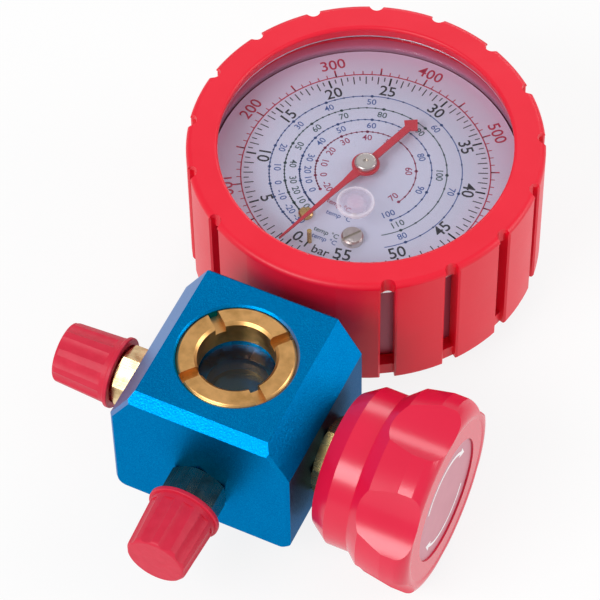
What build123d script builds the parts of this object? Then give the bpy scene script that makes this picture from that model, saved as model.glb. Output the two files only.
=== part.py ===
from build123d import *

import os
from math import atan2, cos, degrees, radians, sin

# Single-valve refrigerant manifold gauge, in millimetres.
# Origin: centre of the gauge case's back face. +Z runs out through the dial, +Y points from the
# manifold block to the gauge (12 o'clock), and the handwheel is on the +X side of the block.

# ---- gauge case and rubber boot ------------------------------------------------------------------
case_radius = 40.6
case_wall = 1.2
case_depth = 28.8
case_back_round = 3.2
boot_wall = 3.9
boot_back = -2.8
boot_top = 36.0
boot_shoulder = 1.5
boot_lip_inset = 4.2
boot_lip_undercut = 1.0
boot_edge_round = 0.8
rubber_clearance = 0.1
pad_count = 17
slot_width = 3.6
slot_root_depth = 0.4
slot_top_depth = 2.1
slot_roof_drop = 4.6
slot_bottom = 1.0
slot_groove_depth = 1.6
pad_edge_bevel = 0.5

# ---- bezel, lens and dial -------------------------------------------------------------------------
bezel_thickness = 0.4
bezel_skirt = 3.2
bezel_flange = 3.6
gasket_thickness = 0.8
gasket_width = 1.7
lens_thickness = 2.0
lens_edge_gap = 0.25
plug_x = 4.4
plug_y = -15.5
plug_head_radius = 4.7
plug_head_height = 1.0
plug_stem_radius = 2.9
dial_level = 24.0
dial_thickness = 0.8
dial_edge_gap = 0.6
dial_hole_radius = 1.2
fit_clearance = 0.05

# ---- pointer --------------------------------------------------------------------------------------
pointer_angle = -108.0
pointer_height = 2.6
pointer_thickness = 0.5
pointer_end_gap = 9.4
pointer_tail = 19.2
pointer_tip_width = 0.4
pointer_blade_width = 1.4
pointer_cone_width = 3.2
pointer_cone_length = 7.8
pointer_tail_width = 1.9
arrow_width = 4.6
arrow_length = 2.5
arrow_sweep = 1.2
pointer_boss_radius = 3.5
pointer_cap_radius = 2.8
pointer_cap_height = 1.3
arbor_sink = 0.5
arbor_radius = 0.6

# ---- dial furniture -------------------------------------------------------------------------------
dial_screw_x = -7.8
dial_screw_y = -18.4
dial_screw_turn = 30.0
dial_screw_head_radius = 1.85
dial_screw_head_height = 1.1
adjuster_x = 5.9
adjuster_y = -20.6
adjuster_turn = -35.0
adjuster_head_radius = 2.75
adjuster_head_height = 1.9
screw_slot_width = 0.7
screw_slot_depth = 0.7
screw_shank_radius = 1.0
stop_post_x = -3.4
stop_post_y = -25.6
stop_post_radius = 0.6
stop_post_height = 4.4

# ---- movement -------------------------------------------------------------------------------------
gear_module = 0.35
pinion_teeth = 12
sector_teeth_full_circle = 98
sector_pivot_angle = -134.4
sector_sweep = 42.0
sector_thickness = 1.0
sector_hub_radius = 2.6
gear_backlash = 0.16
plate_thickness = 1.0
plate_gap = 3.2
plate_margin = 3.4
pillar_radius = 1.3
pillar_places = [(9.5, -5.0), (8.6, -24.0), (-15.0, -24.5)]
tube_edge_gap = 7.8
tube_start = -76.0
tube_sweep = 266.0
tube_width = 9.0
tube_thickness = 3.2
tube_wall = 0.5
tip_length = 5.0
tip_margin = 0.6

# ---- socket and stem that join the gauge to the block --------------------------------------------
socket_half_width = 9.0
socket_top = 17.0
socket_bottom = 6.3
socket_length = 24.0
socket_case_gap = 1.4
socket_bevel = 1.0
stem_radius = 6.4
stem_flats = 12.0
stem_flats_gap = 1.7
stem_flats_round = 1.0
gauge_thread_radius = 4.85
gauge_thread_length = 9.5
gauge_passage_radius = 1.6
tube_feed_radius = 0.8
stem_clearance = 0.6

# ---- manifold block -------------------------------------------------------------------------------
block_width = 46.9
block_length = 41.6
block_gap = 7.9
block_bottom = -2.2
block_top = 38.0
block_chamfer_across = 6.2
block_chamfer_down = 10.5
block_front_bevel = 2.6
block_edge_bevel = 0.8
block_back_bevel = 0.6
block_bottom_round = 3.0
port_z = 12.3
main_bore_radius = 5.0
passage_radius = 2.2
seat_x = -9.0
port_thread_radius = 5.0
port_thread_depth = 10.0
thread_clearance = 0.5
bonnet_thread_radius = 7.5
bonnet_thread_depth = 11.5

# ---- sight glass ----------------------------------------------------------------------------------
sight_offset = 0.6
sight_rim_bevel = 0.5
retainer_radius = 14.4
retainer_bore = 9.4
retainer_thickness = 7.1
retainer_bevel = 0.7
spanner_slot_width = 2.6
spanner_slot_depth = 2.6
spanner_slot_angle = 50.0
glass_radius = 11.6
glass_thickness = 4.0
seal_thickness = 0.7
seal_margin = 0.4
sight_chamber_radius = 7.7
sight_chamber_depth = 6.5
sight_drilling_radius = 1.5

# ---- port adapters and caps -----------------------------------------------------------------------
adapter_flats = 13.4
adapter_hex_length = 7.6
adapter_hex_bevel = 0.5
flare_thread_radius = 5.55
flare_thread_length = 9.6
flare_cone_length = 2.6
flare_bore_radius = 2.2
cap_gap = 0.3
cap_length = 15.8
cap_flange_radius = 9.1
cap_flange_thickness = 1.2
cap_base_radius = 8.4
cap_end_radius = 7.7
cap_end_round = 1.0
cap_thread_clearance = 0.2
cap_mouth_radius = 7.5
cap_mouth_depth = 1.8
cap_end_wall = 1.7
cap_flutes = 10
cap_flute_width = 4.2
cap_flute_depth = 0.5
cap_flute_start = 2.6

# ---- valve ----------------------------------------------------------------------------------------
bonnet_flats = 17.0
bonnet_hex_thickness = 3.7
bonnet_bevel = 0.5
spindle_thread_radius = 4.0
spindle_nose_length = 2.0
spindle_radius = 3.0
spindle_thread_end = 16.5
valve_lift = 2.0
spindle_square = 4.6
spindle_square_length = 8.0
running_clearance = 0.05
seat_tip_radius = 3.4
seat_tip_length = 5.0
seat_cone_length = 1.2
seat_cone_radius = 1.8

# ---- handwheel ------------------------------------------------------------------------------------
wheel_back_gap = 4.15
wheel_hub_lead = 2.0
wheel_skirt_radius = 20.0
wheel_skirt_bevel_radius = 17.0
wheel_skirt_bevel_length = 4.3
wheel_skirt_length = 10.2
wheel_shoulder_radius = 23.3
wheel_shoulder_length = 3.9
wheel_grip_radius = 25.0
wheel_grip_length = 10.5
wheel_grip_rise = 7.0
wheel_face_radius = 20.6
wheel_front_bulge = 1.3
wheel_length = 27.4
wheel_lobes = 6
wheel_rest_turn = -4.5
scallop_radius = 19.0
scallop_depth = 3.2
wheel_cavity_inner = 8.5
wheel_cavity_outer = 16.0
wheel_cavity_depth = 14.0
cover_radius = 15.6
cover_thickness = 1.0
cover_recess_depth = 1.5
wheel_screw_head_radius = 3.6
wheel_screw_head_height = 2.4
wheel_screw_radius = 1.9
wheel_screw_length = 7.0
wheel_screw_pocket_radius = 4.4

# ---- places worked out from the sizes above -------------------------------------------------------
boot_radius = case_radius + boot_wall
boot_lip_radius = case_radius - boot_lip_inset
case_inner = case_radius - case_wall
case_front = case_depth
lens_bottom = case_front + gasket_thickness
lens_top = lens_bottom + lens_thickness
bezel_top = lens_top + bezel_thickness
bezel_radius = case_radius + rubber_clearance + bezel_thickness
dial_bottom = dial_level - dial_thickness
front_plate_top = dial_bottom - plate_thickness
front_plate_bottom = front_plate_top - plate_thickness
back_plate_top = front_plate_bottom - plate_gap
pointer_length = case_radius - pointer_end_gap
tube_mean_radius = case_inner - tube_edge_gap - tube_thickness / 2
socket_back = socket_case_gap - case_inner
socket_front = socket_back + socket_length
block_back = -boot_radius - block_gap
block_front = block_back - block_length
stem_flats_start = -boot_radius - stem_flats_gap
port_y = (block_back + block_front) / 2
sight_y = port_y + sight_offset
pinion_radius = gear_module * pinion_teeth / 2
sector_radius = gear_module * sector_teeth_full_circle / 2
pivot_distance = pinion_radius + sector_radius
pivot_x = pivot_distance * cos(radians(sector_pivot_angle))
pivot_y = pivot_distance * sin(radians(sector_pivot_angle))
retainer_bottom = block_top - retainer_thickness
glass_top = retainer_bottom - seal_thickness
glass_bottom = glass_top - glass_thickness
sight_floor = glass_bottom - sight_chamber_depth
wheel_back = block_width / 2 + wheel_back_gap
wheel_face = wheel_back + wheel_length
wheel_lobe_angle = 360 / wheel_lobes

# ---- planes whose normals are the axes of the turned pieces ---------------------------------------
gauge_plane = Plane.XY
valve_plane = Plane(origin=(0, port_y, port_z), x_dir=(0, 1, 0), z_dir=(1, 0, 0))
left_port_plane = Plane(origin=(-block_width / 2, port_y, port_z), x_dir=(0, 1, 0), z_dir=(-1, 0, 0))
front_port_plane = Plane(origin=(0, block_front, port_z), x_dir=(1, 0, 0), z_dir=(0, -1, 0))
back_port_plane = Plane(origin=(0, block_back, port_z), x_dir=(1, 0, 0), z_dir=(0, 1, 0))
sight_plane = Plane(origin=(0, sight_y, block_top), x_dir=(1, 0, 0), z_dir=(0, 0, 1))


def axial(plane):
    """The plane through a turning axis: its x is the radius and its y runs along the axis."""
    return Plane(origin=plane.origin, x_dir=plane.x_dir, z_dir=plane.x_dir.cross(plane.z_dir))


def turning_axis(plane):
    return Axis(plane.origin, plane.z_dir)


def hexagon(plane, flats, length, bevel):
    """A hexagon prism that stands on the plane, its corners turned down at both ends."""
    corner = flats / 2 / cos(radians(30))
    with BuildSketch(plane) as outline:
        RegularPolygon(flats / 2, 6, major_radius=False, rotation=30)
    extrude(outline.sketch, amount=length)
    for end, inwards in ((0, 1), (length, -1)):
        with BuildSketch(axial(plane.offset(end))) as corners:
            far = inwards * (bevel + 0.5)
            Polygon((corner - 2 * bevel, 0), (corner + 1, 0), (corner + 1, far), align=None)
        revolve(corners.sketch, axis=turning_axis(plane), mode=Mode.SUBTRACT)


def finish(piece, name):
    piece.part.label = name
    export_step(piece.part, f"parts/{name}.step")


os.makedirs("parts", exist_ok=True)

# ---- boot: moulded rubber, a ring of grip pads with slots that show the case ----------------------
with BuildPart() as boot:
    boot_inner = case_radius + rubber_clearance
    boot_back_inner = case_radius - case_back_round + rubber_clearance
    bezel_groove = bezel_radius + rubber_clearance
    bezel_groove_level = bezel_top - bezel_skirt - rubber_clearance
    lip_underside = bezel_top + rubber_clearance
    with BuildSketch(axial(gauge_plane)) as boot_profile:
        with BuildLine():
            Polyline(
                (boot_back_inner, boot_back), (boot_radius, boot_back), (boot_radius, boot_top),
                (boot_lip_radius, boot_top), (boot_lip_radius + boot_lip_undercut, lip_underside),
                (bezel_groove, lip_underside), (bezel_groove, bezel_groove_level),
                (boot_inner, bezel_groove_level), (boot_inner, case_back_round),
            )
            JernArc((boot_inner, case_back_round), (0, -1), case_back_round, -90)
            Line((boot_back_inner, 0), (boot_back_inner, boot_back))
        make_face()
        fillet(boot_profile.vertices().group_by(Axis.X)[-1].sort_by(Axis.Y)[-1], boot_shoulder)
        fillet(boot_profile.vertices().group_by(Axis.X)[-1].sort_by(Axis.Y)[0], boot_edge_round)
        fillet(boot_profile.vertices().group_by(Axis.X)[0].sort_by(Axis.Y)[-1], boot_edge_round)
    revolve(axis=turning_axis(gauge_plane))
    slot_reach = boot_radius + 1
    slot_root_radius = case_radius - slot_root_depth
    slot_end_centre = boot_radius - slot_top_depth + slot_width / 2
    slot_groove_radius = boot_radius - slot_groove_depth
    with BuildSketch(Plane.XY.offset(slot_bottom)):
        with PolarLocations(slot_end_centre, pad_count, start_angle=90):
            Circle(slot_width / 2)
        with PolarLocations((slot_end_centre + slot_reach) / 2, pad_count, start_angle=90):
            Rectangle(slot_reach - slot_end_centre, slot_width)
    extrude(amount=boot_top - slot_bottom + 1, mode=Mode.SUBTRACT)
    with BuildSketch(Plane.XY.offset(slot_bottom)):
        with PolarLocations((slot_root_radius + slot_reach) / 2, pad_count, start_angle=90):
            Rectangle(slot_reach - slot_root_radius, slot_width)
    extrude(amount=boot_top - slot_roof_drop - slot_bottom, mode=Mode.SUBTRACT)
    with BuildSketch(Plane.XY.offset(boot_back - 1)):
        with PolarLocations((slot_groove_radius + slot_reach) / 2, pad_count, start_angle=90):
            Rectangle(slot_reach - slot_groove_radius, slot_width)
        with PolarLocations(boot_radius - pad_edge_bevel, pad_count, start_angle=90):
            edge_reach = 1 + pad_edge_bevel
            Polygon(
                (0, slot_width / 2), (0, -slot_width / 2),
                (edge_reach, -slot_width / 2 - edge_reach), (edge_reach, slot_width / 2 + edge_reach),
                align=None,
            )
    extrude(amount=boot_top - boot_back - boot_shoulder + 1, mode=Mode.SUBTRACT)
    notch_start = case_radius - 2 * stem_radius
    with BuildSketch(Plane.XZ.offset(notch_start)):
        with Locations((0, port_z)):
            Circle(stem_radius + stem_clearance)
        with Locations((0, (port_z + boot_back - 1) / 2)):
            Rectangle(2 * (stem_radius + stem_clearance), port_z - boot_back + 1)
    extrude(amount=slot_reach - notch_start, mode=Mode.SUBTRACT)
finish(boot, "boot")

# ---- case: drawn steel cup with a hole at 6 o'clock for the stem ----------------------------------
with BuildPart() as case:
    with BuildSketch(axial(gauge_plane)) as case_profile:
        with BuildLine():
            Polyline(
                (0, 0), (case_radius, 0), (case_radius, case_front), (case_inner, case_front),
                (case_inner, case_wall), (0, case_wall), close=True,
            )
        make_face()
        inner_corner = case_profile.vertices().group_by(Axis.X)[1].sort_by(Axis.Y)[0]
        fillet(inner_corner, case_back_round - case_wall)
        outer_corner = case_profile.vertices().group_by(Axis.X)[-1].sort_by(Axis.Y)[0]
        fillet(outer_corner, case_back_round)
    revolve(axis=turning_axis(gauge_plane))
    with BuildSketch(Plane.XZ.offset(-socket_back)):
        with Locations((0, port_z)):
            Circle(stem_radius + fit_clearance)
    extrude(amount=case_radius + socket_back + 1, mode=Mode.SUBTRACT)
finish(case, "case")

# ---- bezel: rolled ring that clamps the lens to the case ------------------------------------------
with BuildPart() as bezel:
    bezel_inner = bezel_radius - bezel_thickness
    with BuildSketch(axial(gauge_plane)):
        with BuildLine():
            Polyline(
                (bezel_inner, bezel_top - bezel_skirt), (bezel_radius, bezel_top - bezel_skirt),
                (bezel_radius, bezel_top), (bezel_radius - bezel_flange, bezel_top),
                (bezel_radius - bezel_flange, lens_top), (bezel_inner, lens_top), close=True,
            )
        make_face()
    revolve(axis=turning_axis(gauge_plane))
finish(bezel, "bezel")

# ---- gasket between the case's rim and the lens ---------------------------------------------------
with BuildPart() as lens_gasket:
    with BuildSketch(Plane.XY.offset(case_front)):
        Circle(case_radius)
        Circle(case_radius - gasket_width, mode=Mode.SUBTRACT)
    extrude(amount=gasket_thickness)
finish(lens_gasket, "lens_gasket")

# ---- lens: clear disc with a hole over the adjuster -----------------------------------------------
with BuildPart() as lens:
    with BuildSketch(Plane.XY.offset(lens_bottom)):
        Circle(bezel_inner - lens_edge_gap)
        with Locations((plug_x, plug_y)):
            Circle(plug_stem_radius + fit_clearance, mode=Mode.SUBTRACT)
    extrude(amount=lens_thickness)
finish(lens, "lens")

# ---- lens plug: soft push-in plug over the adjuster hole -----------------------------------------
with BuildPart() as lens_plug:
    with BuildSketch(Plane.XY.offset(lens_bottom - plug_head_height / 2)):
        with Locations((plug_x, plug_y)):
            Circle(plug_stem_radius)
    extrude(amount=lens_thickness + plug_head_height / 2)
    with BuildSketch(Plane.XY.offset(lens_top)):
        with Locations((plug_x, plug_y)):
            Circle(plug_head_radius)
    extrude(amount=plug_head_height)
    fillet(lens_plug.edges().group_by(Axis.Z)[-1], plug_head_height / 3)
finish(lens_plug, "lens_plug")

# ---- dial: printed aluminium disc -----------------------------------------------------------------
with BuildPart() as dial:
    with BuildSketch(Plane.XY.offset(dial_bottom)):
        Circle(case_inner - dial_edge_gap)
        Circle(dial_hole_radius, mode=Mode.SUBTRACT)
        with Locations((dial_screw_x, dial_screw_y), (adjuster_x, adjuster_y)):
            Circle(screw_shank_radius + fit_clearance, mode=Mode.SUBTRACT)
        with Locations((stop_post_x, stop_post_y)):
            Circle(stop_post_radius + fit_clearance, mode=Mode.SUBTRACT)
    extrude(amount=dial_thickness)
finish(dial, "dial")

# ---- dial screw, adjuster and stop post -----------------------------------------------------------
with BuildPart() as dial_screw:
    with BuildSketch(Plane.XY.offset(front_plate_top)):
        with Locations((dial_screw_x, dial_screw_y)):
            Circle(screw_shank_radius)
    extrude(amount=dial_thickness + plate_thickness)
    with BuildSketch(Plane.XY.offset(dial_level)):
        with Locations((dial_screw_x, dial_screw_y)):
            Circle(dial_screw_head_radius)
    extrude(amount=dial_screw_head_height)
    chamfer(dial_screw.edges().group_by(Axis.Z)[-1], dial_screw_head_height / 3)
    with BuildSketch(Plane.XY.offset(dial_level + dial_screw_head_height)):
        with Locations((dial_screw_x, dial_screw_y)):
            Rectangle(screw_slot_width, 2 * dial_screw_head_radius, rotation=dial_screw_turn)
    extrude(amount=-screw_slot_depth, mode=Mode.SUBTRACT)
finish(dial_screw, "dial_screw")

with BuildPart() as adjuster:
    with BuildSketch(Plane.XY.offset(front_plate_top)):
        with Locations((adjuster_x, adjuster_y)):
            Circle(screw_shank_radius)
    extrude(amount=dial_thickness + plate_thickness)
    with BuildSketch(Plane.XY.offset(dial_level)):
        with Locations((adjuster_x, adjuster_y)):
            Circle(adjuster_head_radius)
    extrude(amount=adjuster_head_height)
    chamfer(adjuster.edges().group_by(Axis.Z)[-1], adjuster_head_height / 5)
    with BuildSketch(Plane.XY.offset(dial_level + adjuster_head_height)):
        with Locations((adjuster_x, adjuster_y)):
            Rectangle(screw_slot_width, 2 * adjuster_head_radius, rotation=adjuster_turn)
    extrude(amount=-screw_slot_depth, mode=Mode.SUBTRACT)
finish(adjuster, "adjuster")

with BuildPart() as stop_post:
    with BuildSketch(Plane.XY.offset(dial_bottom)):
        with Locations((stop_post_x, stop_post_y)):
            Circle(stop_post_radius)
    extrude(amount=dial_thickness + stop_post_height)
finish(stop_post, "stop_post")

# ---- pointer: pressed blade with a counterweight, its cap and its arbor ---------------------------
pointer_bottom = dial_level + pointer_height
pointer_plane = Plane(
    origin=(0, 0, pointer_bottom),
    x_dir=(cos(radians(pointer_angle)), sin(radians(pointer_angle)), 0),
    z_dir=(0, 0, 1),
)
with BuildPart() as pointer:
    arrow_base = arrow_length - pointer_tail
    with BuildSketch(pointer_plane):
        with BuildLine():
            Polyline(
                (pointer_length, 0), (pointer_length, pointer_tip_width / 2),
                (pointer_cone_length, pointer_blade_width / 2), (0, pointer_cone_width / 2),
                (0, pointer_tail_width / 2), (arrow_base + arrow_sweep, pointer_tail_width / 2),
                (arrow_base, arrow_width / 2), (-pointer_tail, 0),
            )
            mirror(about=Plane.XZ)
        make_face()
        Circle(pointer_boss_radius)
        Circle(arbor_radius, mode=Mode.SUBTRACT)
    extrude(amount=pointer_thickness)
finish(pointer, "pointer")

with BuildPart() as pointer_cap:
    with BuildSketch(pointer_plane.offset(pointer_thickness)):
        Circle(pointer_cap_radius)
        Circle(arbor_radius, mode=Mode.SUBTRACT)
    extrude(amount=pointer_cap_height)
    fillet(pointer_cap.edges().group_by(Axis.Z)[-1].sort_by(SortBy.RADIUS)[-1], pointer_cap_height / 2)
finish(pointer_cap, "pointer_cap")


def tooth_outline(teeth, count, first_angle):
    """Straight-sided gear teeth about the origin: the outline's points, tooth by tooth."""
    pitch = 360 / teeth
    pitch_radius = gear_module * teeth / 2
    tip = pitch_radius + 0.8 * gear_module
    root = pitch_radius - 1.1 * gear_module
    root_half = pitch * (0.5 - gear_backlash) * 0.72
    tip_half = pitch * (0.5 - gear_backlash) * 0.24
    outline = []
    for index in range(count):
        angle = first_angle + index * pitch
        for radius, side in ((root, -root_half), (tip, -tip_half), (tip, tip_half), (root, root_half)):
            turn = radians(angle + side)
            outline.append((radius * cos(turn), radius * sin(turn)))
    return outline


# ---- pinion arbor: the pinion faces the sector's pivot with a tooth -------------------------------
arbor_top = pointer_bottom + pointer_thickness + pointer_cap_height - arbor_sink
with BuildPart() as pinion_arbor:
    with BuildSketch(Plane.XY.offset(back_plate_top - plate_thickness)):
        Circle(arbor_radius)
    extrude(amount=arbor_top - back_plate_top + plate_thickness)
    with BuildSketch(Plane.XY.offset(back_plate_top + (plate_gap - 2 * sector_thickness) / 2)):
        Polygon(*tooth_outline(pinion_teeth, pinion_teeth, sector_pivot_angle), align=None)
    extrude(amount=2 * sector_thickness)
finish(pinion_arbor, "pinion_arbor")

# ---- sector gear: its teeth run from the rest mesh back through the pointer's sweep ---------------
sector_pitch = 360 / sector_teeth_full_circle
sector_count = round(sector_sweep / sector_pitch) + 4
sector_first_angle = sector_pivot_angle + 180 + (2.5 - sector_count) * sector_pitch
with BuildPart() as sector_gear:
    with BuildSketch(Plane.XY.offset(back_plate_top + (plate_gap - sector_thickness) / 2)):
        with Locations((pivot_x, pivot_y)):
            teeth = tooth_outline(sector_teeth_full_circle, sector_count, sector_first_angle)
            Polygon((0, 0), *teeth, align=None)
            Circle(sector_hub_radius)
    extrude(amount=sector_thickness)
    with BuildSketch(Plane.XY.offset(back_plate_top - plate_thickness)):
        with Locations((pivot_x, pivot_y)):
            Circle(arbor_radius)
    extrude(amount=plate_gap + 2 * plate_thickness)
finish(sector_gear, "sector_gear")

# ---- movement frame: two plates held apart by pillars, with stands that carry the dial ------------
plate_places = [(0, 0), (pivot_x, pivot_y), (dial_screw_x, dial_screw_y), (adjuster_x, adjuster_y)]
plate_places += [(stop_post_x, stop_post_y)] + pillar_places
with BuildPart() as movement_frame:
    for level in (back_plate_top - plate_thickness, front_plate_bottom):
        with BuildSketch(Plane.XY.offset(level)):
            with Locations(*plate_places):
                Circle(plate_margin)
            make_hull()
            with Locations((0, 0), (pivot_x, pivot_y)):
                Circle(arbor_radius + running_clearance, mode=Mode.SUBTRACT)
        extrude(amount=plate_thickness)
    with BuildSketch(Plane.XY.offset(back_plate_top)):
        with Locations(*pillar_places):
            Circle(pillar_radius)
    extrude(amount=plate_gap)
    with BuildSketch(Plane.XY.offset(front_plate_top)):
        with Locations((dial_screw_x, dial_screw_y), (adjuster_x, adjuster_y)):
            Circle(dial_screw_head_radius)
            Circle(screw_shank_radius, mode=Mode.SUBTRACT)
        with Locations((stop_post_x, stop_post_y)):
            Circle(dial_screw_head_radius)
    extrude(amount=dial_bottom - front_plate_top)
finish(movement_frame, "movement_frame")

# ---- Bourdon tube: flattened tube bent round the movement, closed by a tip ------------------------
tube_level = (socket_top + socket_bottom) / 2
tube_plane = Plane.XY.rotated((0, 0, tube_start)).offset(tube_level)
with BuildPart() as bourdon_tube:
    with BuildSketch(axial(tube_plane)):
        with Locations((tube_mean_radius, 0)):
            SlotOverall(tube_width, tube_thickness, rotation=90)
            SlotOverall(
                tube_width - 2 * tube_wall, tube_thickness - 2 * tube_wall, rotation=90, mode=Mode.SUBTRACT
            )
    revolve(axis=Axis.Z, revolution_arc=tube_sweep)
    with BuildSketch(Plane.XY.offset(socket_bottom)):
        with Locations((0, (socket_front + socket_back) / 2)):
            Rectangle(2 * socket_half_width, socket_front - socket_back)
    extrude(amount=socket_top - socket_bottom, mode=Mode.SUBTRACT)
finish(bourdon_tube, "bourdon_tube")

tip_plane = Plane.XY.rotated((0, 0, tube_start + tube_sweep)).offset(tube_level)
with BuildPart() as tube_tip:
    with BuildSketch(axial(tip_plane)):
        with Locations((tube_mean_radius, 0)):
            RectangleRounded(tube_thickness + tip_margin, tube_width + tip_margin, 1)
    extrude(amount=-tip_length)
finish(tube_tip, "tube_tip")

# ---- socket and stem: brass, from the movement out to the block's back thread ---------------------
tube_seat_y = -(tube_mean_radius**2 - socket_half_width**2) ** 0.5
with BuildPart() as socket:
    with BuildSketch(Plane.XY.offset(socket_bottom)):
        with Locations((0, (socket_front + socket_back) / 2)):
            Rectangle(2 * socket_half_width, socket_front - socket_back)
    extrude(amount=socket_top - socket_bottom)
    chamfer(socket.edges().filter_by(Axis.Z), socket_bevel)
    with BuildSketch(Plane.XZ.offset(-socket_back)):
        with Locations((0, port_z)):
            Circle(stem_radius)
    extrude(amount=socket_back - stem_flats_start)
    with BuildSketch(Plane.XZ.offset(-stem_flats_start)):
        with Locations((0, port_z)):
            RectangleRounded(stem_flats, stem_flats, stem_flats_round)
    extrude(amount=stem_flats_start - block_back)
    with BuildSketch(Plane.XZ.offset(-block_back)):
        with Locations((0, port_z)):
            Circle(gauge_thread_radius)
    extrude(amount=gauge_thread_length)
    with BuildSketch(Plane.XZ.offset(-block_back + gauge_thread_length)):
        with Locations((0, port_z)):
            Circle(gauge_passage_radius)
    extrude(amount=block_back - gauge_thread_length - tube_seat_y, mode=Mode.SUBTRACT)
    with BuildSketch(Plane.YZ.offset(socket_half_width)):
        with Locations((tube_seat_y, tube_level)):
            Circle(tube_feed_radius)
    extrude(amount=-socket_half_width, mode=Mode.SUBTRACT)
finish(socket, "socket")

# ---- manifold block: anodised aluminium with its bores --------------------------------------------
with BuildPart() as manifold_block:
    half = block_width / 2
    shoulder = block_top - block_chamfer_down
    with BuildSketch(Plane.XZ.offset(-block_back)) as block_section:
        with BuildLine():
            Polyline(
                (-half, block_bottom), (half, block_bottom), (half, shoulder),
                (half - block_chamfer_across, block_top), (block_chamfer_across - half, block_top),
                (-half, shoulder), close=True,
            )
        make_face()
        fillet(block_section.vertices().group_by(Axis.Y)[0], block_bottom_round)
    extrude(amount=block_back - block_front)
    chamfer(manifold_block.faces().sort_by(Axis.Y)[0].edges().sort_by(Axis.Z)[-1], block_front_bevel)
    chamfer(manifold_block.faces().sort_by(Axis.Y)[0].edges().sort_by(Axis.Z)[:-1], block_edge_bevel)
    chamfer(manifold_block.faces().sort_by(Axis.Y)[-1].edges(), block_back_bevel)
    with BuildSketch(sight_plane):
        Circle(retainer_radius + fit_clearance)
    extrude(amount=-retainer_thickness, mode=Mode.SUBTRACT)
    sight_rim = manifold_block.edges().filter_by(GeomType.CIRCLE).sort_by(Axis.Z)[-1]
    chamfer(sight_rim, sight_rim_bevel)
    with BuildSketch(sight_plane):
        Circle(glass_radius + fit_clearance)
    extrude(amount=glass_bottom - block_top, mode=Mode.SUBTRACT)
    with BuildSketch(sight_plane):
        Circle(sight_chamber_radius)
    extrude(amount=sight_floor - block_top, mode=Mode.SUBTRACT)
    with BuildSketch(sight_plane):
        Circle(sight_drilling_radius)
    extrude(amount=port_z - block_top, mode=Mode.SUBTRACT)
    with BuildSketch(valve_plane.offset(half)):
        Circle(bonnet_thread_radius + fit_clearance)
    extrude(amount=-bonnet_thread_depth, mode=Mode.SUBTRACT)
    with BuildSketch(valve_plane.offset(half)):
        Circle(main_bore_radius)
    extrude(amount=seat_x - half, mode=Mode.SUBTRACT)
    with BuildSketch(valve_plane.offset(-half)):
        Circle(passage_radius)
    extrude(amount=half + seat_x, mode=Mode.SUBTRACT)
    for port in (left_port_plane, front_port_plane, back_port_plane):
        with BuildSketch(port):
            Circle(port_thread_radius)
        extrude(amount=-port_thread_depth, mode=Mode.SUBTRACT)
    for port in (front_port_plane, back_port_plane):
        with BuildSketch(port):
            Circle(passage_radius)
        extrude(amount=-abs(port.origin.Y - port_y), mode=Mode.SUBTRACT)
finish(manifold_block, "manifold_block")

# ---- sight glass: glass on the chamber's ledge, seal, and a brass retainer with spanner slots -----
with BuildPart() as sight_glass:
    with BuildSketch(Plane(origin=(0, sight_y, glass_bottom))):
        Circle(glass_radius)
    extrude(amount=glass_thickness)
finish(sight_glass, "sight_glass")

with BuildPart() as sight_seal:
    with BuildSketch(Plane(origin=(0, sight_y, glass_top))):
        Circle(glass_radius)
        Circle(retainer_bore + seal_margin, mode=Mode.SUBTRACT)
    extrude(amount=seal_thickness)
finish(sight_seal, "sight_seal")

with BuildPart() as sight_retainer:
    with BuildSketch(Plane(origin=(0, sight_y, retainer_bottom))):
        Circle(retainer_radius)
        Circle(retainer_bore, mode=Mode.SUBTRACT)
    extrude(amount=retainer_thickness)
    chamfer(sight_retainer.edges().group_by(Axis.Z)[-1], retainer_bevel)
    slot_middle = (retainer_radius + retainer_bore) / 2
    with BuildSketch(sight_plane):
        with PolarLocations(slot_middle, 4, start_angle=spanner_slot_angle):
            Rectangle(retainer_radius - retainer_bore + 1, spanner_slot_width)
    extrude(amount=-spanner_slot_depth, mode=Mode.SUBTRACT)
finish(sight_retainer, "sight_retainer")


# ---- port adapters: brass, block thread, hexagon and a male flare ---------------------------
def make_adapter(port, name):
    thread_end = adapter_hex_length + flare_thread_length
    nose_end = thread_end + flare_cone_length
    with BuildPart() as adapter:
        with BuildSketch(axial(port)):
            with BuildLine():
                Polyline(
                    (0, thread_clearance - port_thread_depth),
                    (port_thread_radius - fit_clearance, thread_clearance - port_thread_depth),
                    (port_thread_radius - fit_clearance, 0), (flare_thread_radius, 0),
                    (flare_thread_radius, thread_end),
                    (flare_thread_radius - flare_cone_length, nose_end), (0, nose_end), close=True,
                )
            make_face()
        revolve(axis=turning_axis(port))
        hexagon(port, adapter_flats, adapter_hex_length, adapter_hex_bevel)
        with BuildSketch(port.offset(nose_end)):
            Circle(flare_bore_radius)
        extrude(amount=-(nose_end + port_thread_depth), mode=Mode.SUBTRACT)
    finish(adapter, name)


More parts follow.
